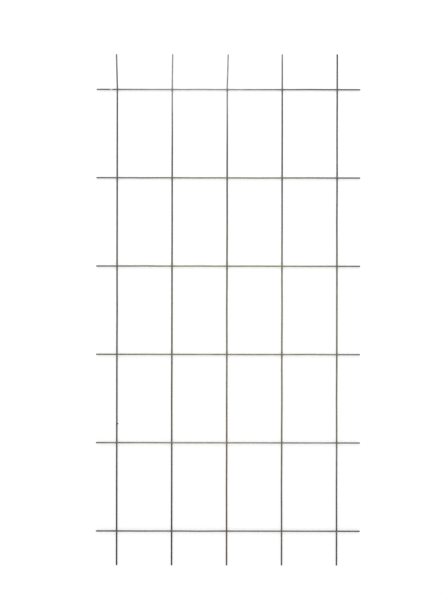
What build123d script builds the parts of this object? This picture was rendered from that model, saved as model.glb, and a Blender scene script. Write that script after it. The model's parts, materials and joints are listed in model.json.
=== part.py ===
from build123d import *
from math import sqrt
import os

# A garden trellis panel of round steel wire, welded flat: five uprights with six cross wires laid
# over them, pressed into each other and fused at every crossing. It lies on its back.
# X runs across the panel, Y runs up it, and Z points out of its front.
# The origin is on the floor under the middle of the panel. All sizes are in millimetres.

# Driving dimensions: the wire
wire_diameter = 5.0
cut_edge_chamfer = 0.4

# Driving dimensions: the grid, measured between the wires' centre lines
upright_count = 5
cross_wire_count = 6
column_pitch = 187.0
row_pitch = 300.0

# Driving dimensions: the free ends, measured from the last wire's centre line to the cut
left_free_end = 70.0
right_free_end = 78.0
top_free_end = 121.0
bottom_free_end = 117.0

# Driving dimensions: the welds. Each weld presses one wire this far into the other.
weld_set_down = 1.1

# Knocks in handling: how far the tips of three uprights, counted from the left, lean sideways above
# the top weld, and the bend that lets them lean. The other tips are straight. A leaning upright is
# as long as its neighbours, so its tip stands a little lower.
tip_leans = {0: -3.0, 1: 1.0, 2: 3.0}
tip_bend_radius = 300.0
tip_bend_above_weld = 12.0

# Worked out from the driving dimensions
wire_radius = wire_diameter / 2
panel_width = left_free_end + (upright_count - 1) * column_pitch + right_free_end
panel_height = bottom_free_end + (cross_wire_count - 1) * row_pitch + top_free_end
panel_left = -panel_width / 2
panel_bottom = -panel_height / 2
panel_top = panel_height / 2
first_upright_x = panel_left + left_free_end
lowest_cross_wire_y = panel_bottom + bottom_free_end
top_weld_y = panel_top - top_free_end
upright_centre_z = wire_radius
cross_wire_centre_z = upright_centre_z + wire_diameter - weld_set_down


def wire_along(path):
    """Round wire drawn along a path, with the sharp edge broken at both of its cut ends."""
    section = Plane(origin=path @ 0, z_dir=path % 0) * Circle(wire_radius)
    wire = sweep(section, path=path)
    cut_faces = [wire.faces().sort_by_distance(end)[0] for end in (path @ 0, path @ 1)]
    cut_edges = [edge for face in cut_faces for edge in face.edges()]
    return chamfer(cut_edges, cut_edge_chamfer)


def upright(number):
    """An upright, counted from the left, lying on the floor. Its tip may lean to one side."""
    x = first_upright_x + number * column_pitch
    lean = tip_leans.get(number, 0.0)
    bend_y = top_weld_y + tip_bend_above_weld
    rise_above_bend = sqrt((panel_top - bend_y) ** 2 - lean**2)
    foot = (x, panel_bottom, upright_centre_z)
    bend = (x, bend_y, upright_centre_z)
    tip = (x + lean, bend_y + rise_above_bend, upright_centre_z)
    if lean == 0.0:
        return wire_along(Line(foot, tip))
    return wire_along(FilletPolyline(foot, bend, tip, radius=tip_bend_radius))


def cross_wire(number):
    """A cross wire, counted from the bottom, lying over the uprights and set down into them."""
    y = lowest_cross_wire_y + number * row_pitch
    left_cut = (panel_left, y, cross_wire_centre_z)
    right_cut = (panel_left + panel_width, y, cross_wire_centre_z)
    return wire_along(Line(left_cut, right_cut))


def welded_panel():
    """All the wires, fused into one solid where they cross."""
    uprights = [upright(number) for number in range(upright_count)]
    cross_wires = [cross_wire(number) for number in range(cross_wire_count)]
    wires = uprights + cross_wires
    return wires[0].fuse(*wires[1:])


trellis_panel = welded_panel()
trellis_panel.label = "trellis_panel"

os.makedirs("parts", exist_ok=True)
export_step(trellis_panel, "parts/trellis_panel.step")

print("panel", panel_width, "by", panel_height, "by", cross_wire_centre_z + wire_radius)
print("solids", len(trellis_panel.solids()), "faces", len(trellis_panel.faces()))
print("volume in cubic centimetres", round(trellis_panel.volume / 1000, 2))
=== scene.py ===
# %% [markdown]
# # A welded wire trellis panel
# The object is a garden trellis: five round steel uprights, six cross wires laid over them, and a
# resistance weld at each of the thirty crossings. It lies on its back and the camera looks down on
# it. All lengths are in metres, in the frame of the solid panel: X runs across it, Y runs up it,
# and its front faces up the Z axis. The first cell loads that solid and measures it.

# %% Loading the solid panel
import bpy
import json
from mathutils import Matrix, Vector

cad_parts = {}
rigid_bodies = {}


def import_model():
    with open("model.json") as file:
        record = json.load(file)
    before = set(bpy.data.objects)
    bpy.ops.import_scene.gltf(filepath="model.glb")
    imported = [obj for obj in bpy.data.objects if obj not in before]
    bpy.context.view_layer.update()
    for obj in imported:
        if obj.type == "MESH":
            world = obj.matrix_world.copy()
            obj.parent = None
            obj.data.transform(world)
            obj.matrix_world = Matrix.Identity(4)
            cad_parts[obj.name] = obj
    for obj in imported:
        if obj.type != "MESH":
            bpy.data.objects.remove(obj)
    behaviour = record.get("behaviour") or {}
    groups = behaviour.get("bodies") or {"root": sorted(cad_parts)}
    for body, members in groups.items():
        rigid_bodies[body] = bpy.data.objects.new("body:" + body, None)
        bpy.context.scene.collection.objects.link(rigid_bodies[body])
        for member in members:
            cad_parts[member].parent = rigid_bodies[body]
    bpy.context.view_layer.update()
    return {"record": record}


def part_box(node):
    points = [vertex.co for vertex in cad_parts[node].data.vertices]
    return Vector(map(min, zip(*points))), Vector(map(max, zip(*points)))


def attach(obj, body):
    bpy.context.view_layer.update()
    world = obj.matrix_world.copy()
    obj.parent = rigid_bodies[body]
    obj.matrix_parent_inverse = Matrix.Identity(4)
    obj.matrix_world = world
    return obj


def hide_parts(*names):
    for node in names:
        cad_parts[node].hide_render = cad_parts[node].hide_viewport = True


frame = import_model()

# %% [markdown]
# ## Units and chance
# Sizes read best in millimetres, so each is written as a number times MM. Some shapes are uneven by
# chance, as the real ones are. The random numbers start from a fixed seed, so that every run of the
# script gives the same panel.

# %% Modules and units
import json
import math
import random

import bmesh
import bpy
from mathutils import Vector

MM = 0.001
X_AXIS, Y_AXIS = 0, 1
quarter_turn = math.radians(90)
random_seed = 11
random.seed(random_seed)
print("a millimetre is", MM, "units, and the random seed is", random_seed)

# %% [markdown]
# ## The layout
# The wires have to lie exactly where the solid ones do. The record already says where each foot
# stands and how thick the wire is, so those are read from it. What is left is the spacing of the
# cross wires, which are measured up from the cut feet. The centre of an upright is one radius above
# the floor, and the centre of a cross wire is one radius below the highest point of the panel. A
# weld lies halfway between the two.

# %% Where the wires lie
panel_low, panel_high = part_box("trellis_panel")
mounts = {mount["name"]: mount for mount in frame["record"]["mounts"]}
ordinals = ("first", "second", "third", "fourth", "fifth")
upright_xs = [mounts[f"{ordinal}_foot_end"]["pos_m"][0] for ordinal in ordinals]
wire_radius = mounts["first_tip"]["dims"]["r_mm"] * MM
cross_wire_count = 6
bottom_free_end = 117 * MM
row_pitch = 300 * MM
column_pitch = upright_xs[1] - upright_xs[0]
cross_wire_ys = [panel_low.y + bottom_free_end + row * row_pitch for row in range(cross_wire_count)]
upright_z = panel_low.z + wire_radius
cross_wire_z = panel_high.z - wire_radius
weld_z = (upright_z + cross_wire_z) / 2
print("uprights at", upright_xs)
print("cross wires at", [round(y, 4) for y in cross_wire_ys])

# %% [markdown]
# ## Working in edit mode
# Every operator works on what is selected, and loading leaves the solid panel selected. So each
# step starts by picking one object alone, opening it for editing, and selecting the faces or
# vertices that a test on their place lets through. Three small helpers do that, and a fourth copies
# an object with a mesh of its own.

# %% Helpers for edit mode
def open_for_edit(piece):
    """Selects one object alone and opens it in edit mode with nothing selected in it."""
    bpy.ops.object.select_all(action="DESELECT")
    piece.select_set(True)
    bpy.context.view_layer.objects.active = piece
    bpy.ops.object.mode_set(mode="EDIT")
    bpy.ops.mesh.select_all(action="DESELECT")


def select_vertices(piece, test):
    """Selects the vertices whose place passes a test, with the edges and faces between them."""
    bpy.ops.mesh.select_mode(type="VERT")
    mesh = bmesh.from_edit_mesh(piece.data)
    for vertex in mesh.verts:
        vertex.select_set(test(vertex.co))
    mesh.select_flush(True)
    mesh.select_flush(False)
    bmesh.update_edit_mesh(piece.data)


def select_faces(piece, test):
    """Selects the faces whose centre and normal pass a test."""
    bpy.ops.mesh.select_mode(type="FACE")
    mesh = bmesh.from_edit_mesh(piece.data)
    for face in mesh.faces:
        face.select_set(test(face.calc_center_median(), face.normal))
    bmesh.update_edit_mesh(piece.data)


def copy_piece(piece, name):
    """Copies an object with a mesh of its own."""
    copied = piece.copy()
    copied.data = piece.data.copy()
    copied.name = name
    bpy.context.scene.collection.objects.link(copied)
    return copied


# %% [markdown]
# ## How a welded wire differs from a plain rod
# Resistance welding squeezes two wires together while current heats them. Each wire comes out a
# little flatter and wider at the crossing, over a stretch of about three diameters. At its ends the
# wire was cropped, so its edge is rolled over and the last few millimetres are pinched. A cylinder
# has none of this. Instead the wire gets stations along its length, each with its width and its
# thickness as shares of the plain wire, and close together only where the shape changes.

# %% How wide and thick a wire is along its length
weld_reach = 7 * MM
weld_widening = 0.05
weld_flattening = 0.06
pinch_reach = 3 * MM
pinch_widening = 0.02
pinch_flattening = 0.05
edge_roll = 0.3 * MM


def wire_share(distance, length, welds):
    """The width and the thickness of a wire at a distance along it, as shares of plain wire."""
    nearest_weld = min(abs(distance - weld) for weld in welds)
    pressed = 0.5 + 0.5 * math.cos(math.pi * min(nearest_weld / weld_reach, 1))
    from_cut = min(distance, length - distance)
    pinched = max(1 - from_cut / pinch_reach, 0) ** 2
    rolled = max(1 - from_cut / edge_roll, 0)
    rim = 1 - (edge_roll / wire_radius) * (1 - math.sqrt(1 - rolled**2))
    width = rim * (1 + weld_widening * pressed + pinch_widening * pinched)
    thickness = rim * (1 - weld_flattening * pressed - pinch_flattening * pinched)
    return width, thickness


print("at a weld the width and thickness are", wire_share(row_pitch, 2 * row_pitch, [row_pitch]))

# %% [markdown]
# ## Where the stations are
# A ring of vertices every few millimetres would describe the shape too, with many more faces.
# So the rings stand close together only within reach of a weld, a bend or a cut, and 50 mm apart on
# the plain wire between them.

# %% The stations of a wire
plain_station_spacing = 50 * MM
edge_station_shares = (0.15, 0.5, 1.0)
pinch_station_shares = (0.4, 1.0)
stations_beside_weld = 5


def wire_stations(length, welds, extra=()):
    """Every distance along a wire where it needs a ring of vertices, in order."""
    places = {0.0, length}
    for share in edge_station_shares:
        places |= {share * edge_roll, length - share * edge_roll}
    for share in pinch_station_shares:
        places |= {share * pinch_reach, length - share * pinch_reach}
    for weld in welds:
        for step in range(-stations_beside_weld, stations_beside_weld + 1):
            places.add(weld + weld_reach * step / stations_beside_weld)
    places |= set(extra)
    stops = [0.0] + list(welds) + [length]
    for before, after in zip(stops, stops[1:]):
        count = max(round((after - before) / plain_station_spacing), 1)
        inner = [before + (after - before) * step / count for step in range(1, count)]
        clear = [place for place in inner if before + weld_reach < place < after - weld_reach]
        places |= set(clear)
    return sorted(places)


print("a stretch with one weld has", len(wire_stations(2 * row_pitch, [row_pitch])), "stations")

# %% [markdown]
# ## Drawing a wire
# A disc of 24 sides is placed where the wire is cut, and extruded from station to station. After
# each extrusion the leading face is resized about the wire's own centre line. That is how the wire
# would be drawn by hand, and it leaves one closed skin with a ring exactly where each weld needs one.

# %% The wire maker
wire_sides = 24


def draw_wire(name, start, axis, length, stations, welds):
    """Draws a wire along the X or the Y axis, from the centre of its first cut."""
    along = Vector((0, 0, 0))
    along[axis] = 1
    turn = (quarter_turn, 0, 0) if axis == Y_AXIS else (0, quarter_turn, 0)
    bpy.ops.object.select_all(action="DESELECT")
    bpy.ops.mesh.primitive_circle_add(
        vertices=wire_sides, radius=wire_radius, fill_type="NGON", location=start, rotation=turn
    )
    wire = bpy.context.active_object
    wire.name = name
    bpy.ops.object.transform_apply(location=True, rotation=True, scale=True)
    bpy.ops.object.mode_set(mode="EDIT")
    bpy.ops.mesh.select_all(action="SELECT")
    last_place, last_share = 0.0, (1.0, 1.0)
    for place in stations:
        if place > 0:
            step = along * (place - last_place)
            bpy.ops.mesh.extrude_region_move(TRANSFORM_OT_translate={"value": step})
        share = wire_share(place, length, welds)
        width, thickness = share[0] / last_share[0], share[1] / last_share[1]
        stretch = [width, width, thickness]
        stretch[axis] = 1
        centre = Vector(start) + along * place
        bpy.ops.transform.resize(value=stretch, center_override=centre)
        last_place, last_share = place, share
    bpy.ops.mesh.select_all(action="SELECT")
    bpy.ops.mesh.normals_make_consistent(inside=False)
    bpy.ops.object.mode_set(mode="OBJECT")
    print(wire.name, "is", round(length / MM), "mm long and has", len(stations), "stations")
    return wire


# %% [markdown]
# ## The cropped ends
# A cropper's blades shear part of the way through the wire and the rest tears. The sheared part
# stays smooth, and the torn part is slightly dished and rough. A flat face with a bump pattern would
# show neither edge. So each end face is cut across with bisect, a thin rim is inset round the torn
# part, and what is inside it is poked inwards, subdivided and roughened. The two parts are put in
# material slots of their own while they are selected.

# %% The end maker
shear_share = 0.15
tear_rim = 0.12 * MM
tear_step = 0.08 * MM
tear_dish = 0.18 * MM
tear_cuts = 2
tear_roughness = 0.05 * MM
tear_evenness = 0.6
tear_seed = 3
sheared_slot, torn_slot = 1, 2
end_face_tolerance = 0.005 * MM
end_face_alignment = 0.98


def use_slot(piece, slot):
    """Puts the selected faces in one material slot."""
    mesh = bmesh.from_edit_mesh(piece.data)
    for face in mesh.faces:
        if face.select:
            face.material_index = slot
    bmesh.update_edit_mesh(piece.data)


def crop_end(wire, end, outward, sheared_side):
    """Gives one flat end of a wire its sheared part, on one side, and its torn part."""
    outward, sheared_side = Vector(outward), Vector(sheared_side)

    def on_end_face(place, normal):
        off_face = abs((place - end).dot(outward))
        return off_face < end_face_tolerance and abs(normal.dot(outward)) > end_face_alignment

    def on_torn_part(place, normal):
        return on_end_face(place, normal) and (place - end).dot(sheared_side) < 0

    open_for_edit(wire)
    select_faces(wire, on_end_face)
    shear_line = end + sheared_side * shear_share * wire_radius
    bpy.ops.mesh.bisect(plane_co=shear_line, plane_no=sheared_side)
    select_faces(wire, on_end_face)
    use_slot(wire, sheared_slot)
    select_faces(wire, on_torn_part)
    bpy.ops.mesh.inset(thickness=tear_rim, depth=-tear_step)
    bpy.ops.mesh.poke(offset=-tear_dish)
    bpy.ops.mesh.subdivide(number_cuts=tear_cuts)
    use_slot(wire, torn_slot)
    bpy.ops.mesh.select_less()
    bpy.ops.transform.vertex_random(offset=tear_roughness, uniform=tear_evenness, seed=tear_seed)
    bpy.ops.object.mode_set(mode="OBJECT")
    print(wire.name, "is cropped at", [round(side / MM, 1) for side in end])


# %% [markdown]
# ## One upright
# All five uprights are the same wire, cut to the same length, so one straight upright is drawn with
# its weld places and both cropped ends. It also gets a few stations where some of its copies will
# be bent, because a bend needs rings to turn.

# %% Drawing one upright
down, up = (0, 0, -1), (0, 0, 1)
towards_feet, towards_tips = (0, -1, 0), (0, 1, 0)
upright_foot = Vector((upright_xs[0], panel_low.y, upright_z))
upright_length = panel_high.y - panel_low.y
upright_tip = upright_foot + Vector((0, upright_length, 0))
upright_welds = [y - panel_low.y for y in cross_wire_ys]
bend_above_weld = 12 * MM
bend_y = cross_wire_ys[-1] + bend_above_weld
bend_station_reach = 7 * MM
bend_station_shares = (-1, -0.5, 0, 0.5, 1)
bend_stations = [bend_y - panel_low.y + bend_station_reach * share for share in bend_station_shares]
upright_stations = wire_stations(upright_length, upright_welds, bend_stations)
upright = draw_wire("upright_1", upright_foot, Y_AXIS, upright_length, upright_stations, upright_welds)
crop_end(upright, upright_foot, towards_feet, up)
crop_end(upright, upright_tip, towards_tips, down)

# %% [markdown]
# ## Five uprights, three with a bent tip
# Three of the real tips were knocked sideways, and the solid wires lean there too. The copies could
# be sheared over, but a knocked wire keeps its thickness and bends round. So a tip is turned in four
# small steps, each about a point on the wire, spread over the length of the bend so that no kink
# shows. How far each tip leans is read from its mount.

# %% Copying the uprights and bending their tips
bend_radius = 300 * MM
bend_steps = 4
tip_rim_reach = 1 * MM


def copy_wires(wire, stem, shifts):
    """Copies a wire to other places beside it, and gives back the wire with its copies."""
    wires = [wire]
    for shift in shifts:
        copied = copy_piece(wire, f"{stem}_{len(wires) + 1}")
        open_for_edit(copied)
        bpy.ops.mesh.select_all(action="SELECT")
        bpy.ops.transform.translate(value=shift)
        bpy.ops.object.mode_set(mode="OBJECT")
        wires.append(copied)
    return wires


def bend_tip(wire, x, lean_angle):
    """Bends what is above the bend sideways by an angle, in small turns spread along the bend."""
    half_arc = bend_radius * abs(lean_angle) / 2
    open_for_edit(wire)
    for step in range(bend_steps):
        pivot_y = bend_y + half_arc * ((step + 0.5) / bend_steps * 2 - 1)
        select_vertices(wire, lambda place: place.y > pivot_y)
        bpy.ops.transform.rotate(
            value=lean_angle / bend_steps, orient_axis="Z", center_override=(x, pivot_y, upright_z)
        )
    bpy.ops.object.mode_set(mode="OBJECT")


uprights = copy_wires(upright, "upright", [(x - upright_xs[0], 0, 0) for x in upright_xs[1:]])
for ordinal, wire, x in zip(ordinals, uprights, upright_xs):
    if f"{ordinal}_tip" in mounts:
        lean = mounts[f"{ordinal}_tip"]["axis"]
        bend_tip(wire, x, math.atan2(lean[0], lean[1]))
        rim_y = panel_high.y - tip_rim_reach
        rim_xs = [vertex.co.x for vertex in wire.data.vertices if vertex.co.y > rim_y]
        print(wire.name, "leans", round((sum(rim_xs) / len(rim_xs) - x) / MM, 2), "mm at its tip")

# %% [markdown]
# ## The cross wires
# They are the same wire, laid across the uprights and set down into them by the welds. One is drawn
# from its left cut and copied up the panel. All are straight, so they need no stations but the
# usual ones.

# %% Drawing and copying the cross wires
leftwards, rightwards = (-1, 0, 0), (1, 0, 0)
cross_start = Vector((panel_low.x, cross_wire_ys[0], cross_wire_z))
cross_length = panel_high.x - panel_low.x
cross_end = cross_start + Vector((cross_length, 0, 0))
cross_welds = [x - panel_low.x for x in upright_xs]
cross_stations = wire_stations(cross_length, cross_welds)
cross_wire = draw_wire("cross_wire_1", cross_start, X_AXIS, cross_length, cross_stations, cross_welds)
crop_end(cross_wire, cross_start, leftwards, up)
crop_end(cross_wire, cross_end, rightwards, up)
steps_up = [(0, y - cross_wire_ys[0], 0) for y in cross_wire_ys[1:]]
cross_wires = copy_wires(cross_wire, "cross_wire", steps_up)
print("made", len(uprights), "uprights and", len(cross_wires), "cross wires")

# %% [markdown]
# ## Wire is never quite straight
# The wire came off a coil, and between two welds it keeps a bow of a few tenths of a millimetre. A
# ring halfway between two welds is pulled sideways with proportional editing, which fades out
# before it reaches the welds. The bows stay in the plane of the panel, so that it still lies flat.

# %% Bowing the wires between their welds
largest_bow = 0.5 * MM


def bow_wire(wire, centres, axis):
    """Pulls the middle of each span sideways by a small random amount."""
    open_for_edit(wire)
    for before, after in zip(centres, centres[1:]):
        middle = (before + after) / 2
        half_gap = plain_station_spacing / 2
        select_vertices(wire, lambda place: abs(place[axis] - middle) < half_gap)
        pull = [0.0, 0.0, 0.0]
        pull[1 - axis] = random.uniform(-largest_bow, largest_bow)
        bpy.ops.transform.translate(
            value=pull,
            use_proportional_edit=True,
            use_proportional_connected=True,
            proportional_edit_falloff="SMOOTH",
            proportional_size=(after - before) / 2 - half_gap - weld_reach,
        )
    bpy.ops.object.mode_set(mode="OBJECT")


for wire in uprights:
    bow_wire(wire, cross_wire_ys, Y_AXIS)
for wire in cross_wires:
    bow_wire(wire, upright_xs, X_AXIS)
print("bowed the spans of", len(uprights) + len(cross_wires), "wires")

# %% [markdown]
# ## The weld flash
# At each crossing the squeezed metal comes out between the wires as a small uneven ridge, the flash.
# It could be cut from the two wires with a boolean, but its edge would be hard to soften. A torus is
# a better start: it lies along the seam, which rises where it crosses the top of the upright and
# dips where it passes under the cross wire. Its outer edge is drawn out to a thin lip, as the metal
# ran.

# %% Shaping one weld flash
flash_radius = 2.15 * MM
flash_thickness = 0.62 * MM
flash_saddle = 0.72 * MM
flash_lip = 0.15 * MM
flash_segments, flash_sides = 28, 8
lip_starts_at = 0.9
saddle_grip_share = 0.45
rises, dips = 1, -1
bpy.ops.object.select_all(action="DESELECT")
bpy.ops.mesh.primitive_torus_add(
    major_segments=flash_segments, minor_segments=flash_sides,
    major_radius=flash_radius, minor_radius=flash_thickness,
)
flash = bpy.context.active_object
flash.name = "weld_flash"
open_for_edit(flash)
outer_edge = flash_radius + lip_starts_at * flash_thickness
select_vertices(flash, lambda place: place.xy.length > outer_edge)
lip = 1 + flash_lip / (flash_radius + flash_thickness)
bpy.ops.transform.resize(value=(lip, lip, 1), center_override=(0, 0, 0))
saddle_grip = saddle_grip_share * (flash_radius + 2 * flash_thickness)
for side, lift in (((0, 1), rises), ((0, -1), rises), ((1, 0), dips), ((-1, 0), dips)):
    middle = Vector(side) * flash_radius
    select_vertices(flash, lambda place: (place.xy - middle).length < saddle_grip)
    bpy.ops.transform.translate(
        value=(0, 0, lift * flash_saddle),
        use_proportional_edit=True,
        proportional_edit_falloff="SMOOTH",
        proportional_size=flash_radius,
    )
bpy.ops.object.mode_set(mode="OBJECT")
print("the flash is", [round(side / MM, 2) for side in flash.dimensions], "mm")

# %% [markdown]
# ## Thirty flashes, no two alike
# Each crossing gets a copy of the flash. It is resized by chance, swollen or thinned at five places
# of its own, roughened, and moved to its weld. At last all are joined, since nobody will pick up one
# flash alone, and one level of subdivision rounds them.

# %% Placing a flash at every crossing
flash_spread, flash_height = (0.94, 1.1), (0.85, 1.15)
flash_pulls = 5
pull_limits = (0.6, 1.7)
flash_grain = 0.1 * MM
flash_evenness = 0.5
flashes = []
for y in cross_wire_ys:
    for x in upright_xs:
        copied = copy_piece(flash, f"weld_flash_{len(flashes) + 1}")
        open_for_edit(copied)
        bpy.ops.mesh.select_all(action="SELECT")
        swelling = [random.uniform(*limits) for limits in (flash_spread, flash_spread, flash_height)]
        bpy.ops.transform.resize(value=swelling, center_override=(0, 0, 0))
        for _ in range(flash_pulls):
            angle = random.uniform(0, 2 * math.pi)
            spot = Vector((math.cos(angle), math.sin(angle))) * flash_radius
            ridge_z = -flash_saddle * math.cos(2 * angle)
            select_vertices(copied, lambda place: (place.xy - spot).length < flash_thickness)
            swell = random.uniform(*pull_limits)
            bpy.ops.transform.resize(
                value=(swell, swell, swell), center_override=(spot.x, spot.y, ridge_z),
                use_proportional_edit=True, proportional_edit_falloff="SMOOTH",
                proportional_size=2 * flash_thickness,
            )
        bpy.ops.mesh.select_all(action="SELECT")
        bpy.ops.transform.vertex_random(
            offset=flash_grain, uniform=flash_evenness, seed=len(flashes)
        )
        bpy.ops.transform.translate(value=(x, y, weld_z))
        bpy.ops.object.mode_set(mode="OBJECT")
        flashes.append(copied)
bpy.data.objects.remove(flash)
bpy.ops.object.select_all(action="DESELECT")
for copied in flashes:
    copied.select_set(True)
bpy.context.view_layer.objects.active = flashes[0]
bpy.ops.object.join()
weld_flash = bpy.context.active_object
weld_flash.name = "weld_flash"
rounding = weld_flash.modifiers.new("rounding", "SUBSURF")
rounding.levels = 1
rounding.render_levels = 1
bpy.ops.object.modifier_apply(modifier="rounding")
print("placed", len(flashes), "weld flashes")

# %% [markdown]
# ## A drop of spatter
# The photograph shows one small dark lump on the right side of the first upright, a little above the
# second cross wire from the bottom. It is taken for a drop of weld spatter that froze there. A small
# sphere is flattened, drawn out along the wire where it sticks to it, and roughened. Smoothing it
# once takes the sharpness off, as surface tension did.

# %% Shaping the spatter drop
drop_radius = 1.9 * MM
drop_segments, drop_rings = 16, 10
drop_y = -388 * MM
drop_stand_off = 1.3 * MM
drop_rise = 0.2 * MM
drop_shape = (1.05, 1.0, 0.85)
drop_foot_depth = 0.6 * MM
drop_foot_shape = (1.0, 1.2, 1.0)
drop_grain = 0.12 * MM
drop_evenness = 0.3
drop_seed = 5
drop_smoothing = 0.5
drop_place = Vector((upright_xs[0] + wire_radius + drop_stand_off, drop_y, upright_z + drop_rise))
bpy.ops.object.select_all(action="DESELECT")
bpy.ops.mesh.primitive_uv_sphere_add(
    segments=drop_segments, ring_count=drop_rings, radius=drop_radius, location=drop_place
)
spatter_drop = bpy.context.active_object
spatter_drop.name = "spatter_drop"
bpy.ops.object.transform_apply(location=True, rotation=True, scale=True)
open_for_edit(spatter_drop)
bpy.ops.mesh.select_all(action="SELECT")
bpy.ops.transform.resize(value=drop_shape, center_override=drop_place)
select_vertices(spatter_drop, lambda place: place.x < drop_place.x - drop_foot_depth)
bpy.ops.transform.resize(value=drop_foot_shape, center_override=drop_place)
bpy.ops.mesh.select_all(action="SELECT")
bpy.ops.transform.vertex_random(offset=drop_grain, uniform=drop_evenness, seed=drop_seed)
bpy.ops.mesh.vertices_smooth(factor=drop_smoothing, repeat=1)
bpy.ops.object.mode_set(mode="OBJECT")
print("the drop is", [round(side / MM, 2) for side in spatter_drop.dimensions], "mm")

# %% [markdown]
# ## Colours, nodes and ranges
# Colours are written the way a picture editor shows them, as sRGB hex values. The shader wants
# linear light, so one function converts them. One more function adds a node of any kind: it sets the
# node's properties and fills its inputs with values or with what other nodes give. A soft mask is a
# Map Range node, which turns one range of values into another, and those ranges are given names.

# %% Helpers for the finishes
def linear(hex_colour):
    """An sRGB hex colour as linear red, green, blue and an alpha of one."""
    channels = [int(hex_colour[place:place + 2], 16) / 255 for place in (1, 3, 5)]
    lit = [c / 12.92 if c <= 0.04045 else ((c + 0.055) / 1.055) ** 2.4 for c in channels]
    return (*lit, 1.0)


def add(tree, kind, inputs, **settings):
    """Adds a node, sets its properties and fills its inputs, each by its name or its number."""
    made = tree.nodes.new("ShaderNode" + kind)
    for name, value in settings.items():
        setattr(made, name, value)
    in_use = [socket for socket in made.inputs if socket.enabled]
    for key, value in inputs.items():
        named = [socket for socket in in_use if socket.name == key]
        socket = named[0] if named else in_use[key]
        if isinstance(value, bpy.types.Node):
            value = next(output for output in value.outputs if output.enabled)
        if isinstance(value, bpy.types.NodeSocket):
            tree.links.new(value, socket)
        else:
            socket.default_value = value
    return made


def span(low, high, to_low=0.0, to_high=1.0):
    """The limits of a Map Range node: a range of values, and the range that it is turned into."""
    return {"From Min": low, "From Max": high, "To Min": to_low, "To Max": to_high}


soft = {"interpolation_type": "SMOOTHSTEP"}
noise_low, noise_high = 0.3, 0.7
noise_roughness = 0.55
print("the middle grey of sRGB is", round(linear("#808080")[0], 3), "in linear light")

# %% [markdown]
# ## The uneven patterns on the wire
# The wire is low carbon steel pulled through a die, which leaves fine lines along it. Every wire is
# straight along X or Y, so noise on Object coordinates that is stretched along the wire gives such
# lines, and no UV map is needed. Real die lines are about 0.05 mm apart, too fine to show even in a
# near view, so they are drawn at 0.3 mm and at 0.11 mm. In the camera's view one pixel covers 3.4 mm
# and what shows is coarser: blotches where the film of drawing soap wore unevenly, and cloudy
# changes of 160 mm. Every pattern's cells have a real width across the wire and a length along it.

# %% The patterns of a wire
die_line_width, die_line_length = 0.3 * MM, 30 * MM
fine_line_width, fine_line_length = 0.11 * MM, 12 * MM
blotch_width, blotch_length = 7 * MM, 28 * MM
patch_width, patch_length = 3 * MM, 12 * MM
speck_size = 0.6 * MM
cloud_size = 160 * MM


def wire_patterns(tree, place, axis):
    """The uneven patterns of a wire along the X or the Y axis, by name."""
    patterns = {}
    for name, width, length, detail in (
        ("die lines", die_line_width, die_line_length, 3.0),
        ("fine lines", fine_line_width, fine_line_length, 2.0),
        ("blotches", blotch_width, blotch_length, 4.0),
        ("patches", patch_width, patch_length, 5.0),
        ("specks", speck_size, speck_size, 4.0),
        ("clouds", cloud_size, cloud_size, 2.0),
    ):
        squeeze = [1 / width] * 3
        squeeze[axis] = 1 / length
        cells = add(tree, "Mapping", {"Vector": place, "Scale": squeeze})
        patterns[name] = add(
            tree, "TexNoise",
            {"Vector": cells, "Scale": 1.0, "Detail": detail, "Roughness": noise_roughness},
        )
    return patterns


print("a die line is", die_line_width / MM, "mm wide and", die_line_length / MM, "mm long")

# %% [markdown]
# ## Where the finish differs
# The dull grey film is dark on the outer wires. Over the middle of the panel it is painted paler,
# which is painted light, and at the tips of the middle uprights it is painted palest, which is a
# painted highlight. Over the middle the soap has also gone yellow with age. The lower half of the
# middle upright has a brown stain, and the left end of the top cross wire has a bright patch of
# bare, scraped steel whose brightness is partly a painted glint. Each of these has an oval place: a
# middle, half a width, half a height and maybe a lean, which a Mapping node can hold. The distance
# from its middle, in shares of its size, is one at its edge and makes a mask with soft ends.

# %% The ovals on the panel
def oval(middle, size, lean=0.0):
    """An oval place, as the settings of a Mapping node that centres, turns and sizes it."""
    return {"Location": middle, "Rotation": (0, 0, -lean), "Scale": size}


def reach(tree, place, placed):
    """The distance from the middle of an oval place, in shares of its size."""
    shares = add(tree, "Mapping", {"Vector": place, **placed}, vector_type="TEXTURE")
    return add(tree, "VectorMath", {"Vector": shares}, operation="LENGTH")


any_depth = 1.0
# Where the bright patch of bare steel lies, whose brightness is partly a painted glint.
glint_scrape_x = -397.6 * MM
# Painted light: the film is painted paler inside these two ovals, over the middle of the panel.
upright_painted_light = oval((180 * MM, -320 * MM, 0), (390 * MM, 760 * MM, any_depth))
cross_wire_painted_light = oval((30 * MM, -350 * MM, 0), (560 * MM, 1150 * MM, any_depth))
upright_yellow = oval((60 * MM, -120 * MM, 0), (490 * MM, 630 * MM, any_depth))
cross_wire_yellow = oval(
    (-60 * MM, 20 * MM, 0), (490 * MM, 630 * MM, any_depth), lean=math.radians(20)
)
# A painted highlight: the tips of the middle uprights are painted palest inside this oval.
pale_tips = oval((-90 * MM, 930 * MM, 0), (400 * MM, 440 * MM, any_depth))
brown_stain = oval((upright_xs[2], -600 * MM, upright_z), (6 * MM, 420 * MM, 6 * MM))
# The bright patch of bare, scraped steel, partly a painted glint.
glint_scrape_place = oval(
    (glint_scrape_x, cross_wire_ys[-1], cross_wire_z + wire_radius), (3.2 * MM, 3.0 * MM, 3.5 * MM)
)
print("the stain is centred on", [round(side / MM) for side in brown_stain["Location"]], "mm")
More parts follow.
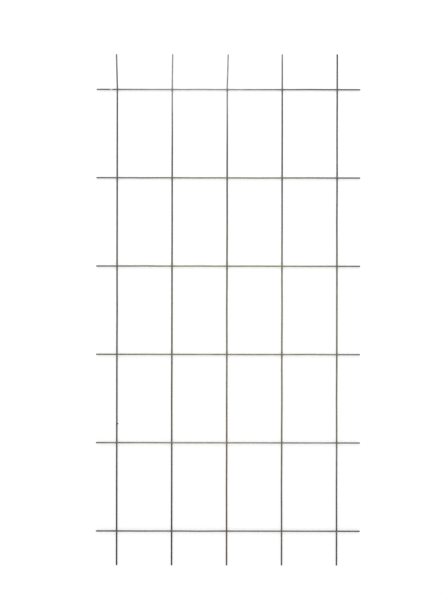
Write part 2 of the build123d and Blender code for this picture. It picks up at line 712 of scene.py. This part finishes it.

# %% [markdown]
# ## The film of drawing soap and oxide
# This is what the eye gets most of: a dull, dark grey thread with a little yellow or brown in it. It
# could be one colour and one noise, but the photograph's wires change over the whole panel. So the
# film is laid on in layers, each by a mask of its own: the dark film, painted light that makes it
# paler over the middle, painted shade that makes it darker towards the feet, a painted highlight at
# the tips, the yellow and the stain. The yellow is laid on by multiplying, as a thin film lets
# through what is under it. The painted shade at the feet is weaker towards the right.

# %% Laying on the film
# The first two edges belong to the painted light over the middle and the painted highlight at the tips.
painted_light_edge, tips_edge, stain_edge = span(1.0, 0.45), span(1.0, 0.4), span(1.0, 0.6)
yellow_edge = span(-0.65, 0.0)
# Painted shade darkens the film towards the feet between these heights, and less to the right.
foot_from, foot_full = -430 * MM, -650 * MM
fade_from, fade_full = -100 * MM, 150 * MM
yellow_patch_low, yellow_patch_high = 0.35, 0.65
stain_patches = span(0.38, 0.62, 0.5, 1.0)
# The first grey is the painted shade at the feet.
foot_shade_grey, yellow_film, stain_brown = "#363636", "#fff89c", "#685936"


def film_masks(tree, place, parts, patterns, wear):
    """How strongly each layer of the film shows, from 0 to 1, by name."""
    # Painted light: how much paler the film is painted over the middle.
    painted_light_share = add(tree, "MapRange", {"Value": reach(tree, place, wear["painted_light_place"]), **painted_light_edge}, **soft)
    # Painted shade: darker towards the feet, and weaker towards the right.
    rise = add(
        tree, "MapRange", {"Value": parts["Y"], **span(foot_from, foot_full, 0.0, wear["foot_shade"])}, **soft
    )
    fade = add(
        tree, "MapRange", {"Value": parts["X"], **span(fade_from, fade_full, 1.0, wear["fade"])}, **soft
    )
    foot_shade = add(tree, "Math", {0: rise, 1: fade}, operation="MULTIPLY")
    # A painted highlight at the tips of the middle uprights.
    tips = add(tree, "MapRange", {"Value": reach(tree, place, pale_tips), **tips_edge}, **soft)
    from_yellow = reach(tree, place, wear["yellow"])
    ragged = add(tree, "Math", {0: patterns["clouds"], 1: from_yellow}, operation="SUBTRACT")
    yellow = add(tree, "MapRange", {"Value": ragged, **yellow_edge}, **soft)
    full = wear["yellowing"]
    yellow_patches = span(yellow_patch_low, yellow_patch_high, full / 2, full)
    patchy = add(tree, "MapRange", {"Value": patterns["patches"], **yellow_patches}, **soft)
    yellow = add(tree, "Math", {0: yellow, 1: patchy}, operation="MULTIPLY")
    stain = add(tree, "MapRange", {"Value": reach(tree, place, brown_stain), **stain_edge}, **soft)
    patchy = add(tree, "MapRange", {"Value": patterns["patches"], **stain_patches}, **soft)
    stain = add(tree, "Math", {0: stain, 1: patchy}, operation="MULTIPLY")
    return {"painted_light_share": painted_light_share, "foot_shade": foot_shade, "tips": tips, "yellow": yellow, "stain": stain}


def lay_on(tree, film, layers):
    """Lays colours over a film, each by its mask and its way of mixing."""
    for mask, colour, way in layers:
        film = add(
            tree, "Mix", {"Factor": mask, "A": film, "B": linear(colour)},
            data_type="RGBA", blend_type=way,
        )
    return film


# The painted shade at the feet is full below this height.
print("the dirt at the feet is full below", round(foot_full / MM), "mm")

# %% [markdown]
# ## Streaks
# The die lines, the finer lines and the blotches make the film lighter and darker, each by about a
# sixth. Mixing in a second grey would hide the layers below. So they multiply the film's colour, and
# a dark place keeps its streaks as a pale one does.

# %% Streaking the film
streak_tones = {
    "blotches": span(noise_low, noise_high, 0.86, 1.14),
    "die lines": span(noise_low, noise_high, 0.82, 1.18),
    "fine lines": span(noise_low, noise_high, 0.84, 1.16),
}


def streaked(tree, film, patterns):
    """A film made lighter and darker by the lines and the blotches."""
    for name, tones in streak_tones.items():
        tone = add(tree, "MapRange", {"Value": patterns[name], **tones}, **soft)
        film = add(tree, "VectorMath", {"Vector": film, "Scale": tone}, operation="SCALE")
    return film


print("three patterns streak the film:", ", ".join(streak_tones))

# %% [markdown]
# ## Where the metal was hot
# Every weld tints the metal around it, so the finish has to know how far it is to the nearest of
# thirty welds. They sit on a regular grid, so the X and Y coordinates are folded back and forth at
# every half pitch, like a strip of paper, and all the welds land on one point.

# %% The distance to the nearest weld
def distance_to_weld(tree, parts):
    """The distance in space to the middle of the nearest weld."""
    folded = {}
    grid = (("X", upright_xs[0], column_pitch), ("Y", cross_wire_ys[0], row_pitch))
    for side, first_weld, pitch in grid:
        shifted = add(tree, "Math", {0: parts[side], 1: first_weld}, operation="SUBTRACT")
        folded[side] = add(tree, "Math", {0: shifted, 1: pitch / 2}, operation="PINGPONG")
    folded["Z"] = add(tree, "Math", {0: parts["Z"], 1: weld_z}, operation="SUBTRACT")
    joined = add(tree, "CombineXYZ", folded)
    return add(tree, "VectorMath", {"Vector": joined}, operation="LENGTH")


print("the grid is folded every", round(column_pitch / 2 / MM, 1), "and", row_pitch / 2 / MM, "mm")

# %% [markdown]
# ## Heat, rust and a scrape that is partly a painted glint
# Around each weld the steel ran to straw and, nearer, to blue grey. Specks of rust sit on all of the
# wire, and thickly in the stain. The scrape shows bare, bright steel with an edge that tore along
# the die lines, and its brightness is partly a painted glint. They come after the streaks, because
# the real marks are younger than the film.

# %% Heat tints, rust specks and the scrape with its painted glint
straw_reach, blue_reach = 7.5 * MM, 2.5 * MM
straw_ring = span(straw_reach, straw_reach / 2, 0.0, 0.45)
blue_ring = span(straw_reach / 2, blue_reach, 0.0, 0.8)
speck_edge = span(0.54, 0.74)
rust_in_stain = span(0.0, 1.0, 0.12, 0.8)
tear_along_lines = span(noise_low, noise_high, -0.45, 0.45)
tear_in_patches = span(noise_low, noise_high, -0.3, 0.3)
glint_scrape_edge = span(1.0, 0.8, 0.0, 0.9)
# The last grey is bare steel that also stands for a painted glint.
straw_tint, blue_tint, rust_brown, bare_steel_and_glint = "#676050", "#414349", "#6d4024", "#bdbcb8"


def mark_masks(tree, place, parts, patterns, stain):
    """How strongly each heat tint and mark shows, from 0 to 1, by name."""
    from_weld = distance_to_weld(tree, parts)
    straw = add(tree, "MapRange", {"Value": from_weld, **straw_ring}, **soft)
    blue = add(tree, "MapRange", {"Value": from_weld, **blue_ring}, **soft)
    specks = add(tree, "MapRange", {"Value": patterns["specks"], **speck_edge}, **soft)
    thickly = add(tree, "MapRange", {"Value": stain, **rust_in_stain}, **soft)
    rust = add(tree, "Math", {0: specks, 1: thickly}, operation="MULTIPLY")
    # The bright patch of bare, scraped steel, partly a painted glint, with a ragged edge.
    along = add(tree, "MapRange", {"Value": patterns["die lines"], **tear_along_lines}, **soft)
    around = add(tree, "MapRange", {"Value": patterns["patches"], **tear_in_patches}, **soft)
    torn = add(tree, "Math", {0: along, 1: around}, operation="ADD")
    torn = add(tree, "Math", {0: reach(tree, place, glint_scrape_place), 1: torn}, operation="ADD")
    glint_scrape = add(tree, "MapRange", {"Value": torn, **glint_scrape_edge}, **soft)
    return {"straw": straw, "blue": blue, "rust": rust, "glint_scrape": glint_scrape}


print("straw reaches", round(straw_reach / MM, 1), "mm from a weld, and blue grey half of that")

# %% [markdown]
# ## Drawn steel
# Drawn wire is a metal, and a film of soap and oxide takes part of its shine: it is fairly dull, and
# duller still and less of a metal where it is yellow, stained or rusty. To the eye that is a thin,
# broken highlight along the back of the wire. The die lines are also grooves, and the rust stands
# proud, which two Bump nodes in a row give, since both are far too shallow to model.

# %% How the film shines
rust_weight = 0.6
metal_left = span(0.0, 1.0, 0.9, 0.2)
fine_line_dullness = span(noise_low, noise_high, -0.08, 0.08)
blotch_dullness = span(noise_low, noise_high, 0.5, 0.36)
rust_dullness = span(0.0, 1.0, 0.0, 0.35)
groove_depth, groove_strength = 0.04 * MM, 0.8
crust_depth, crust_strength = 0.05 * MM, 0.6


def shine(tree, shader, patterns, masks, rust):
    """Sets how metallic, rough and grooved the wire is."""
    rusted = add(tree, "Math", {0: masks["yellow"], 1: masks["stain"]}, operation="MAXIMUM")
    rusted = add(tree, "Math", {0: rusted, 1: rust_weight}, operation="MULTIPLY")
    rusted = add(tree, "Math", {0: rusted, 1: rust}, operation="MAXIMUM")
    metal = add(tree, "MapRange", {"Value": rusted, **metal_left}, **soft)
    tree.links.new(metal.outputs["Result"], shader.inputs["Metallic"])
    lined = add(tree, "MapRange", {"Value": patterns["fine lines"], **fine_line_dullness}, **soft)
    worn = add(tree, "MapRange", {"Value": patterns["blotches"], **blotch_dullness}, **soft)
    dull = add(tree, "Math", {0: lined, 1: worn}, operation="ADD")
    crusted = add(tree, "MapRange", {"Value": rusted, **rust_dullness}, **soft)
    dull = add(tree, "Math", {0: dull, 1: crusted}, operation="ADD")
    tree.links.new(dull.outputs["Value"], shader.inputs["Roughness"])
    grooves = add(
        tree, "Bump",
        {"Height": patterns["die lines"], "Strength": groove_strength, "Distance": groove_depth},
    )
    crust = add(
        tree, "Bump",
        {"Height": rust, "Strength": crust_strength, "Distance": crust_depth, "Normal": grooves},
    )
    tree.links.new(crust.outputs["Normal"], shader.inputs["Normal"])


print("the grooves are", groove_depth / MM, "mm deep")

# %% [markdown]
# ## Two finishes, one for each direction
# The uprights and the cross wires are the same steel, but each has its painted light, painted shade
# and yellow in places of its own, and they need their lines along different axes. So one maker gives
# both, and what differs between them is listed: the greys, the ovals and the strengths. One strength
# is how strongly painted shade darkens the feet, and "fade" is the share of that left on the right.

# %% The drawn steel finishes
def drawn_steel(name, axis, wear):
    """Dull drawn steel wire along the X or the Y axis, with painted light and shade in its film."""
    material = bpy.data.materials.new(name)
    material.use_nodes = True
    tree = material.node_tree
    shader = tree.nodes["Principled BSDF"]
    place = add(tree, "TexCoord", {}).outputs["Object"]
    parts = add(tree, "SeparateXYZ", {"Vector": place}).outputs
    patterns = wire_patterns(tree, place, axis)
    masks = film_masks(tree, place, parts, patterns, wear)
    marks = mark_masks(tree, place, parts, patterns, masks["stain"])
    # Over the dark film: painted light, painted shade, a painted highlight, then the yellow and the
    # stain.
    film = lay_on(tree, linear(wear["dark"]), (
        (masks["painted_light_share"], wear["painted_light_grey"], "MIX"),
        (masks["foot_shade"], foot_shade_grey, "MIX"),
        (masks["tips"], wear["painted_highlight_grey"], "MIX"),
        (masks["yellow"], yellow_film, "MULTIPLY"),
        (masks["stain"], stain_brown, "MIX"),
    ))
    film = lay_on(tree, streaked(tree, film, patterns), (
        (marks["straw"], straw_tint, "MIX"),
        (marks["blue"], blue_tint, "MIX"),
        (marks["rust"], rust_brown, "MIX"),
        # The bright patch is partly a painted glint.
        (marks["glint_scrape"], bare_steel_and_glint, "MIX"),
    ))
    tree.links.new(film.outputs["Result"], shader.inputs["Base Color"])
    shine(tree, shader, patterns, masks, marks["rust"])
    print(name, "has", len(tree.nodes), "nodes")
    return material


# Greys two and three are painted light and a painted highlight; the first strength is painted shade.
steel_along_y = drawn_steel("drawn_steel_upright", Y_AXIS, {
    "dark": "#454544", "painted_light_grey": "#6f6f6e", "painted_highlight_grey": "#8b8b8b", "painted_light_place": upright_painted_light,
    "foot_shade": 1.0, "fade": 0.4, "yellow": upright_yellow, "yellowing": 1.0,
})
steel_along_x = drawn_steel("drawn_steel_cross_wire", X_AXIS, {
    "dark": "#606060", "painted_light_grey": "#868685", "painted_highlight_grey": "#878787", "painted_light_place": cross_wire_painted_light,
    "foot_shade": 0.45, "fade": 0.9, "yellow": cross_wire_yellow, "yellowing": 0.7,
})

# %% [markdown]
# ## Weld scale and freshly cropped steel
# The flash was white hot in open air, so it carries a blue black scale that is rougher than the
# wire, and the eye gets a dark, matt bead. The cropped ends are bare steel: paler and brighter where
# the blade sheared them, and darker and coarser where they tore. All three are steel with an even
# grain, so one maker gives them. The grain of a real shear is finer than the 0.15 mm drawn here,
# which is as fine as a near view shows.

# %% The weld scale and the cropped faces
bare_metallic = 0.85
grain_detail = 4.0
grain_contrast = span(0.35, 0.65)
pit_strength = 0.7


def rough_steel(name, dark, pale, grain, roughness, pit_depth):
    """Steel with an even grain, for the weld flash and for the cropped ends."""
    material = bpy.data.materials.new(name)
    material.use_nodes = True
    tree = material.node_tree
    shader = tree.nodes["Principled BSDF"]
    place = add(tree, "TexCoord", {}).outputs["Object"]
    cells = add(tree, "Mapping", {"Vector": place, "Scale": [1 / grain] * 3})
    grains = add(
        tree, "TexNoise",
        {"Vector": cells, "Scale": 1.0, "Detail": grain_detail, "Roughness": noise_roughness},
    )
    share = add(tree, "MapRange", {"Value": grains, **grain_contrast}, **soft)
    tone = lay_on(tree, linear(dark), ((share, pale, "MIX"),))
    tree.links.new(tone.outputs["Result"], shader.inputs["Base Color"])
    shader.inputs["Metallic"].default_value = bare_metallic
    shader.inputs["Roughness"].default_value = roughness
    pits = add(tree, "Bump", {"Height": grains, "Strength": pit_strength, "Distance": pit_depth})
    tree.links.new(pits.outputs["Normal"], shader.inputs["Normal"])
    print(name, "has a grain of", grain / MM, "mm")
    return material


weld_scale = rough_steel(
    "weld_scale", "#3d3e41", "#605b55", grain=0.4 * MM, roughness=0.45, pit_depth=0.05 * MM
)
sheared_steel = rough_steel(
    "sheared_steel", "#757471", "#838280", grain=0.15 * MM, roughness=0.34, pit_depth=0.02 * MM
)
torn_steel = rough_steel(
    "torn_steel", "#525150", "#696866", grain=0.14 * MM, roughness=0.6, pit_depth=0.06 * MM
)

# %% [markdown]
# ## Finishing every piece
# A finished piece has its place in its mesh and its object at the origin. All its faces look
# outwards, and its shading is smooth everywhere but at edges sharper than 35 degrees. Each piece
# is also attached to the body of the solid panel, and the solid one is left out.

# %% Dressing and finishing every piece
crease_angle = math.radians(35)


def finish_piece(piece):
    """Turns a piece's faces outwards, sets it at the origin, smooths it and attaches it to the panel's
    body, hiding the solid panel.
    """
    open_for_edit(piece)
    bpy.ops.mesh.select_all(action="SELECT")
    bpy.ops.mesh.normals_make_consistent(inside=False)
    bpy.ops.object.mode_set(mode="OBJECT")
    bpy.ops.object.transform_apply(location=True, rotation=True, scale=True)
    bpy.ops.object.shade_smooth_by_angle(angle=crease_angle)
    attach(piece, "root")
    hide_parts("trellis_panel")
    print(piece.name, "has", len(piece.data.polygons), "faces")


for steel, wires in ((steel_along_y, uprights), (steel_along_x, cross_wires)):
    for wire in wires:
        for finish in (steel, sheared_steel, torn_steel):
            wire.data.materials.append(finish)
        finish_piece(wire)
for piece in (weld_flash, spatter_drop):
    piece.data.materials.append(weld_scale)
    finish_piece(piece)

# %% [markdown]
# ## The floor
# The photograph's ground is pure white. A matt white floor under plain light comes out just short of
# that, and more light would wash out the wires. So where the camera or a reflection sees the floor,
# part of its white is its own, by the Light Path node, and the rest is lit, which keeps a soft
# shadow beside each wire. Light that bounces off it meets a plain, slightly grey floor.

# %% The white floor
floor_size = 30.0
full_white = linear("#ffffff")
lit_white = linear("#d4d4d4")
bounced_white = linear("#e7e7e7")
own_white_level = 0.44


def seen_directly(tree):
    """One where the camera, a reflection or a view through glass sees the surface, else zero."""
    path = add(tree, "LightPath", {}).outputs
    seen = path["Is Camera Ray"]
    for ray in ("Is Glossy Ray", "Is Transmission Ray"):
        seen = add(tree, "Math", {0: seen, 1: path[ray]}, operation="MAXIMUM")
    return seen


bpy.ops.object.select_all(action="DESELECT")
bpy.ops.mesh.primitive_plane_add(size=floor_size, location=(0, 0, panel_low.z))
floor = bpy.context.active_object
floor.name = "floor"
floor_paint = bpy.data.materials.new("white_floor")
floor_paint.use_nodes = True
tree = floor_paint.node_tree
tree.nodes.clear()
bounced = add(tree, "BsdfDiffuse", {"Color": bounced_white})
lit_part = add(tree, "BsdfDiffuse", {"Color": lit_white})
own_part = add(tree, "Emission", {"Color": full_white, "Strength": own_white_level})
both = add(tree, "AddShader", {0: lit_part, 1: own_part})
shown = add(tree, "MixShader", {0: seen_directly(tree), 1: bounced, 2: both})
add(tree, "OutputMaterial", {"Surface": shown})
floor.data.materials.append(floor_paint)
print("the floor is", floor_size, "m wide")

# %% [markdown]
# ## The white surroundings
# The world gives most of the light, from all sides, as a white tent would. The camera and every
# reflection see it pure white, and as a light it is a little weaker, so that colours render about
# as they are written.

# %% The world
world_level = 0.84
full_level = 1.0
world = bpy.data.worlds.new("white_surroundings")
bpy.context.scene.world = world
world.use_nodes = True
tree = world.node_tree
tree.nodes.clear()
plain = add(tree, "Background", {"Color": full_white, "Strength": world_level})
white = add(tree, "Background", {"Color": full_white, "Strength": full_level})
shown = add(tree, "MixShader", {0: seen_directly(tree), 1: plain, 2: white})
add(tree, "OutputWorld", {"Surface": shown})
print("the world's level is", world_level)

# %% [markdown]
# ## The studio lights
# Round wire mirrors whatever stands above it in a thin line along its back. The wires in the
# photograph are palest at the top end, near the middle. So the main softbox hangs past the top end
# and to the left, for a soft shadow on one side, and a small, weak one hangs over the tips, where
# their backs mirror it towards the camera.

# %% Two softboxes
def softbox(name, place, aim, width, depth, watts):
    """A rectangular softbox at a place, turned to face a point."""
    lamp = bpy.data.lights.new(name, "AREA")
    lamp.shape = "RECTANGLE"
    lamp.size = width
    lamp.size_y = depth
    lamp.energy = watts
    holder = bpy.data.objects.new(name, lamp)
    holder.location = place
    holder.rotation_euler = (Vector(aim) - Vector(place)).to_track_quat("-Z", "Y").to_euler()
    bpy.context.scene.collection.objects.link(holder)
    print(name, "gives", watts, "W")


softbox("main_softbox", place=(-0.8, 2.4, 2.2), aim=(0, 0.1, 0), width=2.0, depth=1.4, watts=16.0)
softbox("tip_softbox", place=(-0.06, 1.3, 1.0), aim=(-0.06, 0.8, 0), width=0.9, depth=0.5, watts=2.5)

# %% [markdown]
# ## The camera
# The picture was taken square on to the panel. Here the camera looks straight down from the height
# where a 50 mm lens on a 36 mm tall frame shows the panel at the photograph's scale, a little to the
# left of the panel's middle and towards its top, and turned by a tenth of a degree.

# %% The camera
lens_mm = 50
frame_height_mm = 36
camera_place = (-0.0157, 0.0331, 2.8372)
camera_turn = math.radians(0.09)
lens = bpy.data.cameras.new("camera")
lens.lens = lens_mm
lens.sensor_fit = "VERTICAL"
lens.sensor_height = frame_height_mm
camera = bpy.data.objects.new("camera", lens)
camera.location = camera_place
camera.rotation_euler = (0, 0, camera_turn)
bpy.context.scene.collection.objects.link(camera)
bpy.context.scene.camera = camera
bpy.context.scene.view_settings.view_transform = "Standard"
print("the camera is", round(camera.location.z, 3), "m above the floor")
